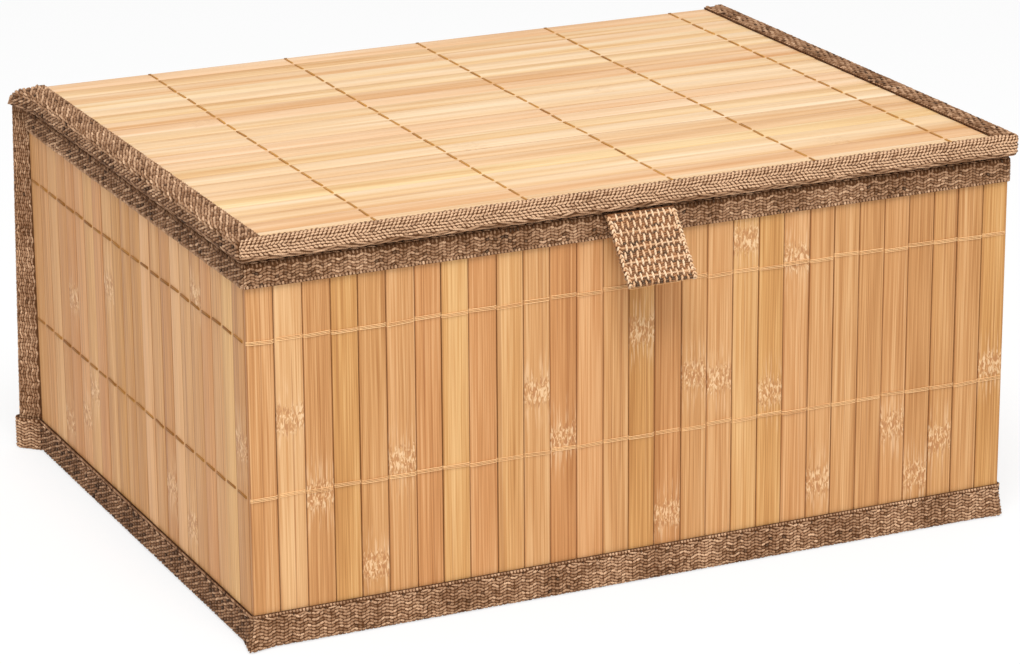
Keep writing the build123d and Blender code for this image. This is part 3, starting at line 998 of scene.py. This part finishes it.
def lid_pattern(top, tone):
    """Slanted rows on the narrow front, ribs at the sides, and level rows under both."""
    # in front the level rows get a higher tone than at the sides, and at the sides the rows on top a little more than
    # those on the edge: painted light on the faces the lamp lights best
    if top < 5:
        level_tone = 0.62
        above = rows(1.3, top + 1.4, 1.2, 1.46, 2.1, 0.95, 0.85, slant=(-0.72, -0.5), tone=tone)
        face = rows(top + 2.5, top + 4.6, 1.05, 1.6, 2.1, 0.95, 0.8, slant=(0.38, 0.12), tone=tone)
    else:
        level_tone = 0.4
        above = ribs(1.4, top + 0.9, tone + 0.08, height=1.6, apart=1.06, width=1.05, lean=-0.39)
        face = ribs(top + 2.1, top + 4.4, tone, height=1.3)
    level = rows(top + 5.5, top + 7.4, 0.95, 5.8, 6.8, 0.95, 0.9, slant=(0.03, -0.03), tone=level_tone)
    under = rows(top + 8.6, lid_path(top)[0][-1] - 1.2)
    return selvedge(0.4, 1.9, 0.5) + above + face + level + under


def lid_end(out):
    return np.full(np.shape(out), lid_rear - lid_front)


def spread_end(points, length=15, width=8, closing=3):
    """Spreads the rear end of the left length over the bound corner, and closes it round."""
    back = np.clip((points[:, 1] - (lid_rear - length)) / length, 0, 1)
    outer = np.clip((np.abs(points[:, 0]) - (lid_x - width)) / width, 0, 1)
    rim = np.clip((np.abs(points[:, 0]) - (lid_x - 7)) / 6, 0, 1)
    end = np.clip((points[:, 1] - (lid_rear - closing)) / closing, 0, 1)
    points[:, 2] += rim * (lid_low + 0.3 - points[:, 2]) * (1 - np.sqrt(1 - 0.999 * end**2.5))
    droop = points[:, 2] - 1.9 * (back * outer) ** 2
    points[:, 2] = np.maximum(droop, np.minimum(points[:, 2], lid_low + 0.1))
    points[:, 0] += np.sign(points[:, 0]) * 2.8 * (back * outer) ** 1.3
    points[:, 1] += 6.2 * (back**2 * outer**2) ** 1.3
    return points


# The front length gets the highest tone and the right one the lowest: painted light on the lit front and painted shade
# on the sides.
for side, top, tone, beside, flare in (
    ("front", 4, 1.0, (9, 10), None), ("left", 9.5, 0.5, (4, 10), spread_end), ("right", 9, 0.32, (4, 10), None)
):
    lay_tape(
        f"lid_tape_{side}", side, lid_edge, lid_path(top), lid_pattern(top, tone), round(80 + top), "lid", "lid_tape",
        beside, lid_end, 0, flare=flare,
    )

# %% [markdown]
# ### Bound rear corners
#
# At each rear corner the cloths of two walls are laid together, turned out along the diagonal and bound with tape. The
# tape's length stands upright here, so its rows do too. The path is a narrow loop seen from above: out along one face,
# round the edge and back along the other.

# %% Bind the rear corners
mat_depth = 1.8  # from the face of the slats to the cloth behind them
fold_x, fold_y = side_x - mat_depth, back_y - mat_depth
seam_end = 7.2 * math.sqrt(2)


def loop_path(start, half):
    """A narrow loop seen from above: out along one face, round the edge of the seam and back along the other."""
    end = seam_end + half
    return folded_path([(start, half), (end, half), (end, -half), (start, -half)], half - 0.001)


def diagonal_place(side, out, across, up):
    """A point at a rear corner: out along the diagonal, across it, and up."""
    s = 1 / math.sqrt(2)
    return np.stack((side * (fold_x + (out - across) * s), fold_y + (out + across) * s, up), axis=-1)


fin_path = loop_path(1.2, 1.6)
fin_width = fin_path[0][-1]
fin_pattern = selvedge(0.4, 1.4) + chains(1.3, fin_width - 1.3, width=1.15, height=0.66, lean=0.35, tone=0.56)
for side, name in ((-1, "left"), (1, "right")):
    places = places_along(fin_pattern, slat_low + 1, rim_high - 0.6, 90 + side)
    fin = weave_flat(f"{name}_corner_binding", places, slat_low, rim_high, fin_width)
    up, across, lift = points_of(fin).T
    out, sideways = on_path(fin_path, across, lift)
    # the binding gets narrower towards the top, and its outer end rises a little under the lid
    out = out - 3.0 * np.clip(up / rim_high, 0, 1) * out / seam_end
    up = up + 0.7 * np.clip(out / 6, 0, 1) ** 2 * np.clip((up - rim_high + 2) / 2, 0, 1)
    move_points(fin, diagonal_place(side, out, sideways, up) * MM)
    finish_piece(fin, tape_yarn, "box", "binding_tape", f"{name}_corner_tape")

# %% [markdown]
# ### Feet of the bound corners
#
# The base tape goes round the foot of each bound corner as a small pocket. Its rows lie level again, so the path seen
# from above is the length of this tape, and the path seen from the side turns its lower edge in under the foot.

# %% Wrap the feet
foot_loop = loop_path(mat_depth * math.sqrt(2) - 1.4, 2.9)
foot_side = folded_path([(0, base_rise), (0, 0), (-2.75, 0)], 1.0)
foot_length, foot_width = foot_loop[0][-1], foot_side[0][-1]
foot_pattern = selvedge(0.45) + chains(1.6, foot_width - 0.6, tone=0.72)
for side, name in ((-1, "left"), (1, "right")):
    places = places_along(foot_pattern, 0.8, foot_length - 0.8, 94 + side)
    foot = weave_flat(f"{name}_foot_binding", places, 0, foot_length, foot_width, cell=(0.9, 0.6))
    along, across, lift = points_of(foot).T
    outwards, up = on_path(foot_side, across, lift)
    out, sideways = on_path(foot_loop, along, outwards)
    move_points(foot, diagonal_place(side, out, sideways, up) * MM)
    finish_piece(foot, tape_yarn, "box", "binding_tape", "base_tape")

# %% [markdown]
# ## Weaving threads
#
# Threads hold the slats together: they pass over a slat, dive into the seam and come up over the next. On the front
# they show as three fine pale strands over each slat, and on the sides and the lid as one brown dash per slat, made of
# two strands. One strand is modelled from a thin cylinder whose ends are bent down, and it is copied to each slat at
# its own slight slope, because the rows in the photograph are not quite level.


# %% Model one strand
def model_strand():
    """A strand with half sizes of 1, its ends bent down into the seams."""
    select_only()
    bpy.ops.mesh.primitive_cylinder_add(vertices=6, radius=1, depth=2, rotation=(0, math.pi / 2, 0))
    strand = added("strand")
    cut_rings(strand, (-0.92, -0.8, 0, 0.8, 0.92), axis=0)
    points = points_of(strand)
    points[:, 2] -= 4 * np.clip((np.abs(points[:, 0]) - 0.8) / 0.2, 0, 1) ** 1.5
    move_points(strand, points)
    return strand


strand_shape = model_strand()
print("one strand:", len(strand_shape.data.polygons), "faces")


# %% [markdown]
# The thread is cotton of two plies. Its slanted lines come from a wave along the strand, which also lifts its surface
# a little. Each row of strands follows the seams of its own mat, so that no strand ends in the middle of a slat.


# %% Lay strands over the slats
def thread_finish(name, dark, light):
    """Cotton thread of two screen colours."""
    material, tree, shader = new_material(name, Roughness=0.7, Sheen_Weight=0.1, Specular_IOR_Level=0.2)
    parts = add(tree, "SeparateXYZ", Vector=fact(tree, "yarn", vector=True)).outputs
    twist = calc(tree, "SINE", plus(tree, times(tree, parts[0], 14), parts[2]))
    tone = calc(tree, "MULTIPLY_ADD", twist, 0.12, fact(tree, "yarn_tone"))
    paint(tree, shader, ramp(tree, tone, ((0.1, dark), (0.8, light))), bump(tree, twist, 0.06, 0.5))
    return material


pale_thread = thread_finish("pale_thread", (220, 162, 104), (255, 212, 154))
brown_thread = thread_finish("brown_thread", (146, 92, 30), (210, 152, 70))
print("thread:", pale_thread.name, brown_thread.name)


def strands(seams, level, offsets, radius, fill, seed, tone, slope=0.02, wander=0.25):
    """Where the strands of one thread row lie, over every slat between the seams."""
    rng = np.random.default_rng(seed)
    found = []
    for before, after in zip(seams, seams[1:]):
        middle, half = (before + after) / 2, (after - before) / 2 * fill
        drift, lean = rng.normal(0, wander), rng.normal(0, slope)
        for offset in offsets:
            found.append((
                middle, level + drift + offset, 0.2, half, radius, radius, lean + rng.normal(0, 0.008),
                tone + rng.normal(0, 0.12),
            ))
    return np.array(found)


def thread_piece(name, places, carry, material, body, *nodes):
    """Strands copied in the flat and carried to their wall."""
    piece = copies_in_flat(name, strand_shape, places)
    move_points(piece, carry(points_of(piece)) * MM)
    return finish_piece(piece, material, body, "thread", *nodes)


# %% [markdown]
# Two rows go round the walls, one below the middle and one above it. Their heights are read from the solids.


# %% Thread the walls
def on_side(side):
    """Carries the flat to a wall: along it, up it and out of it."""
    return lambda flat: side_place(side, walls, flat[:, 0], flat[:, 2], flat[:, 1])


side_seams = {"left": left_seams - front_y, "right": right_seams - front_y}
for k, name in enumerate(("lower", "upper")):
    node = f"{name}_wall_thread"
    low, high = corners_of(node)
    level = (low[2] + high[2]) / 2
    places = strands(front_seams, level, (-0.5, 0.0, 0.5), 0.13, 1.0, 100 + k, 0.6)
    thread_piece(f"{name}_thread_front", places, on_side("front"), pale_thread, "box", node)
    for side, seams in side_seams.items():
        places = strands(seams, level, (-0.24, 0.24), 0.27, 0.9, 104 + k, 0.22, wander=0.12)
        thread_piece(f"{name}_thread_{side}", places, on_side(side), brown_thread, "box", node)

# %% [markdown]
# On the lid and the back the slats lie level, so the same rows of strands run across them as five columns. They start
# behind the lid's front tape and above the base tape.

# %% Thread the lid and the back
thread_low, thread_high = corners_of("lid_threads")
thread_columns = np.linspace(thread_low[0] + 0.6, thread_high[0] - 0.6, 5)


def column_strands(seams, seed, first):
    """The strands of all thread columns, from a first place on."""
    places = np.vstack([
        strands(seams, x, (-0.2, 0.2), 0.22, 0.92, seed + k, 0.5, wander=0.1) for k, x in enumerate(thread_columns)
    ])
    return places[places[:, 0] > first]


def on_lid(flat):
    """Carries the flat to the top of the lid."""
    return np.stack((flat[:, 1], flat[:, 0], lid_slat_high + flat[:, 2]), axis=-1)


def on_back(flat):
    """Carries the flat to the back wall."""
    return np.stack((flat[:, 1], back_y + flat[:, 2], flat[:, 0]), axis=-1)


lid_places = column_strands(lid_seams, 110, thread_low[1])
thread_piece("lid_thread", lid_places, on_lid, brown_thread, "lid", "lid_threads")
back_places = column_strands(back_seams, 120, base_rise)
thread_piece("back_thread", back_places, on_back, brown_thread, "box", "back_threads")

# %% [markdown]
# ## Pull tab
#
# The tab is a length of open basket webbing, doubled so that its fold is the tip, with both ends sewn under the lid.
# Short pale yarns run down it, ten in each row, and every second row is set over by half a step. A thin pale yarn
# crosses every second row, and brown weft fills the squares between. The same flat way of laying out yarns serves
# here, with the width of the webbing across and its length round the fold.

# %% Weave and fold the tab
tab_width, tab_length, tab_thickness, tab_lean = 26.0, 26.0, 1.8, math.radians(30)
tab_path = folded_path(
    [(0, tab_thickness), (tab_length, tab_thickness), (tab_length, 0), (0, 0)], tab_thickness / 2 - 0.001
)
tab_run, tab_skew = tab_path[0][-1], 2.4
rng = np.random.default_rng(7)
column_step, row_step = 2.25, 2.65
yarns = []
for j, at in enumerate(np.arange(1.0, tab_run - 0.8, row_step)):
    first = 3.4 if j % 2 else 2.3
    shade = 0.28 if abs(at - tab_run / 2) < 2.4 else 0
    for column in np.arange(first, tab_width - 1.9, column_step):
        lean = rng.normal(-0.06, 0.08) if j % 2 else rng.normal(-0.1, 0.1)
        yarns.append((
            column + rng.normal(0, 0.08), at + rng.normal(0, 0.08), -0.26, 1.6, 0.5, 0.5, math.pi / 2 + lean,
            rng.normal(0.86, 0.07) - shade,
        ))
    for between in np.arange(first - column_step / 2, tab_width - 1.2, column_step):
        for shift in (-1.1, -0.37, 0.37, 1.1):
            tone = rng.normal(0.24 if abs(shift) < 1 else 0.14, 0.12) - shade
            yarns.append((between, at + shift, -0.42, 0.95, 0.42, 0.34, rng.normal(0.08, 0.1), tone))
        if j % 2:
            yarns.append((between, at, -0.3, 1.2, 0.28, 0.38, rng.normal(0.05, 0.1), rng.normal(0.72, 0.08) - shade))
for edge_x, lean in ((0.45, 1.1), (1.15, 2.05), (tab_width - 1.15, 1.1), (tab_width - 0.45, 2.05)):
    for at in np.arange(0.6, tab_run - 0.4, 1.5):
        yarns.append((
            edge_x + rng.normal(0, 0.06), at + rng.normal(0, 0.1), -0.28, 1.0, 0.4, 0.5, lean + rng.normal(0, 0.16),
            rng.normal(0.82, 0.14),
        ))
tab_ground = {"top": -0.34, "depth": 0.35, "cell": (1.1, 0.45)}
webbing = weave_flat("pull_tab_webbing", np.array(yarns), 0.3, tab_width - 0.3, tab_run, **tab_ground)
x, t, lift = points_of(webbing).T
down, inwards = on_path(tab_path, t, lift)
points = np.stack((
    x - tab_width / 2 - tab_skew * (1 - down / tab_length),
    lid_front - 0.1 - down * math.sin(tab_lean) + inwards * math.cos(tab_lean),
    lid_low - 0.1 - down * math.cos(tab_lean) - inwards * math.sin(tab_lean),
), axis=-1)
move_points(webbing, points * MM)
finish_piece(webbing, webbing_yarn, "pull_tab", "webbing", "pull_tab")

# %% [markdown]
# ## Cloth and board
#
# Inside, the box is lined with plain woven cotton, glued to boards. The boards are flat panels of pressed fibre and
# their solids are right as they are, so they only get a finish. The cloths are modelled: a grid is given its thickness,
# its edges are doubled as a turned hem, and it is left a little uneven, as cloth glued by hand is.


# %% Finishes of cloth and board
def cloth_finish(name, dark, light, count):
    """Plain weave with a number of threads per millimetre."""
    material, tree, shader = new_material(name, Roughness=0.85, Sheen_Weight=0.25, Specular_IOR_Level=0.2)
    place = add(tree, "TexCoord").outputs["Object"]
    parts = add(tree, "SeparateXYZ", Vector=place).outputs
    turns = 2 * math.pi * count * 1000
    waves = [calc(tree, "SINE", times(tree, part, turns)) for part in parts]
    weave = times(tree, plus(tree, waves[0], waves[1]), plus(tree, waves[1], waves[2]))
    yarns = [noise(tree, place, ways, detail=3) for ways in ((900, 60, 900), (60, 900, 900), (900, 900, 60))]
    slubs = calc(tree, "DIVIDE", plus(tree, *yarns), 3)
    tone = calc(tree, "MULTIPLY_ADD", weave, 0.06, slubs)
    relief = bump(tree, plus(tree, weave, slubs), 0.08, 0.5)
    paint(tree, shader, ramp(tree, tone, ((0.3, dark), (0.65, light))), relief)
    return material


def board_finish():
    """Pressed fibre: short pale and dark fibres in all directions."""
    material, tree, shader = new_material("pressed_fibre", Roughness=0.9, Specular_IOR_Level=0.2)
    place = add(tree, "TexCoord").outputs["Object"]
    fibres = noise(tree, place, (500, 500, 500), detail=4, distortion=1.5)
    cloudy = noise(tree, place, (40, 40, 40), detail=2)
    tone = plus(tree, fibres, swing(tree, cloudy, 0.6))
    colour = ramp(tree, tone, ((0.3, (112, 88, 64)), (0.5, (152, 126, 96)), (0.7, (182, 158, 128))))
    paint(tree, shader, colour, bump(tree, fibres, 0.1, 0.4))
    return material


lining_cotton = cloth_finish("lining_cotton", (188, 164, 134), (222, 202, 174), 1.1)
backing_cotton = cloth_finish("backing_cotton", (92, 62, 38), (136, 98, 64), 1.4)
pressed_fibre = board_finish()
for node in ("base_board", "front_board", "left_board", "right_board", "back_board", "lid_board"):
    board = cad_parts[node]
    board.data.materials.clear()
    board.data.materials.append(pressed_fibre)
print("boards finished with", pressed_fibre.name)

# %% [markdown]
# Every panel of cloth takes its place and size from its solid. The smallest of its three sizes is the thickness. The
# linings face into the box, the cloth under the base faces down, and the lid's backing cloth faces up to its slats.


# %% Model the linings
hem_width, panel_cell = 5.5, 3


def cloth_panel(name, node, facing, material, body, slot, seed):
    """A glued panel of cloth in the place of its solid, its seen face towards the given end of its thin axis."""
    low, high = corners_of(node)
    size = high - low
    thin = int(np.argmin(size))
    wide, long = [axis for axis in range(3) if axis != thin]
    cells = [max(4, round(size[axis] / panel_cell)) for axis in (wide, long)]
    panel = added_grid(name, cells, (size[wide], size[long]))
    apply_modifier(panel, "SOLIDIFY", thickness=size[thin], offset=-1)
    flat = points_of(panel)
    rng = np.random.default_rng(seed)
    waves = rng.uniform(0.02, 0.09, (4, 2)) * rng.choice((-1, 1), (4, 2))
    uneven = sum(np.sin(flat[:, :2] @ wave + phase) for wave, phase in zip(waves, rng.uniform(0, 6, 4))) / 4
    inner = np.minimum(size[wide] / 2 - np.abs(flat[:, 0]), size[long] / 2 - np.abs(flat[:, 1]))
    hem = np.clip((inner - hem_width) / 1.5, 0, 1)
    sink = np.where(flat[:, 2] > -0.1, 0.07 * (uneven - 1) - 0.1 * hem, 0)
    place = np.empty_like(flat)
    place[:, wide] = (low[wide] + high[wide]) / 2 + flat[:, 0]
    place[:, long] = (low[long] + high[long]) / 2 + flat[:, 1]
    face = high[thin] if facing > 0 else low[thin]
    place[:, thin] = face + facing * (flat[:, 2] + sink)
    move_points(panel, place * MM)
    return finish_piece(panel, material, body, slot, node, angle=60)


linings = (
    ("floor", 1), ("front_inner", 1), ("back_inner", -1), ("left_inner", 1), ("right_inner", -1), ("lid_inner", -1)
)
for seed, (place, facing) in enumerate(linings, start=1):
    part = place.removesuffix("_inner")
    body = "lid" if part == "lid" else "box"
    cloth_panel(f"{place}_cloth", f"{part}_lining", facing, lining_cotton, body, "lining_cloth", seed)
cloth_panel("under_cloth", "base_cloth", -1, backing_cotton, "box", "backing_cloth", 7)
cloth_panel("lid_mat_cloth", "lid_cloth", 1, backing_cotton, "lid", "backing_cloth", 8)

# %% [markdown]
# ## Cloth behind the mats
#
# The mats are woven on a backing cloth, which shows in the seams between slats. Round the walls it is one length, from
# the bound seam at one rear corner round the front to the other. A second length covers the back and goes on over the
# fold as the lid's hinge. A strip that stands on a folded line is made point by point, because the folds are much
# narrower than the straight runs between them.


# %% Stand a strip of cloth on a folded line
def standing_strip(name, corners, low, high, radius=0.35, thickness=0.36):
    """A closed strip in millimetres along a line in plan, between two heights."""
    _, points, normals = folded_path(corners, radius)
    inner, outer = points - normals * thickness / 2, points + normals * thickness / 2
    rings = np.stack([np.column_stack((p, np.full(len(p), z))) for z in (low, high) for p in (inner, outer)], axis=1)
    faces = []
    for k in range(len(points) - 1):
        for a, b in ((0, 1), (1, 3), (3, 2), (2, 0)):
            faces.append((4 * k + a, 4 * k + b, 4 * k + 4 + b, 4 * k + 4 + a))
    last = 4 * (len(points) - 1)
    faces += [(0, 2, 3, 1), (last, last + 1, last + 3, last + 2)]
    return mesh_object(name, rings.reshape(-1, 3), faces)


def into_corner(side, shift):
    """Where the cloth turns out into a bound corner, and its end in there, a little to one side of the middle."""
    return [tuple(diagonal_place(side, out, shift, 0)[:2]) for out in (0, 0.62 * seam_end)]


inner_front = front_y + mat_depth
front_turns = [(-fold_x, inner_front), (fold_x, inner_front)]
wall_line = into_corner(-1, -0.2)[::-1] + front_turns + into_corner(1, -0.2)
wall_strip = standing_strip("wall_mat_cloth", wall_line, slat_low, wall_high)
move_points(wall_strip, points_of(wall_strip) * MM)
finish_piece(wall_strip, backing_cotton, "box", "backing_cloth", "wall_cloth", angle=40)
back_cloth_high = corners_of("back_cloth")[1][2]
back_strip = standing_strip("back_mat_cloth", into_corner(-1, 0.2)[::-1] + into_corner(1, 0.2), slat_low, wall_high)
top_line = [(-fold_x + 0.4, fold_y), (fold_x - 0.4, fold_y)]
strip_top = standing_strip("back_mat_cloth_top", top_line, wall_high - 1, back_cloth_high)
back_strip = join([back_strip, strip_top], "back_mat_cloth")
move_points(back_strip, points_of(back_strip) * MM)
finish_piece(back_strip, backing_cotton, "box", "backing_cloth", "back_cloth", angle=40)

# %% [markdown]
# ## The hinge of the lid
#
# The lid has no metal hinge. Its backing cloth runs over the rear top edge and down the back, and the lid turns about
# that fold. The short length between lid and wall is a strip folded round the rear edge, and the threads that cross
# the fold are bent over it in the same way.

# %% Fold the cloth and the threads over the rear edge
hinge_y, hinge_z = fold_y, corners_of("lid_cloth")[0][2] + 0.2
fold_line = [(hinge_y - 0.7, hinge_z), (hinge_y, hinge_z), (hinge_y, hinge_z - 0.7)]
fold = standing_strip("hinge_fold", fold_line, -fold_x + 0.4, fold_x - 0.4, 0.3, 0.34)
y, z, x = points_of(fold).T
move_points(fold, np.stack((x, y, z), axis=-1) * MM)
finish_piece(fold, backing_cotton, None, "backing_cloth", angle=60)
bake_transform(fold)

over = folded_path(
    [(back_y + 0.2, hinge_z - 2.6), (back_y + 0.1, hinge_z - 0.9), (lid_rear + 0.6, lid_slat_high + 0.2),
     (lid_rear - 1.6, lid_slat_high + 0.25)], 0.4,
)
half_over = over[0][-1] / 2
columns = [x + side for x in thread_columns for side in (-0.28, 0.28)]
crossing = [(half_over, x, 0.05, half_over, 0.3, 0.3, 0.0, 0.45) for x in columns]
bridge = copies_in_flat("hinge_thread", strand_shape, np.array(crossing))
flat = points_of(bridge)
y, z = on_path(over, flat[:, 0], np.clip(flat[:, 2], -0.25, 0.35))
move_points(bridge, np.stack((flat[:, 1], y, z), axis=-1) * MM)
finish_piece(bridge, brown_thread, None, "thread")
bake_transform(bridge)

# %% [markdown]
# ## Remove the patterns
#
# The two models float and strand were only patterns to copy, so they are removed. The looks must stay inside the box
# of the solids, apart from a little fabric.

# %% Remove the patterns
for pattern in (float_shape, strand_shape):
    bpy.data.objects.remove(pattern)
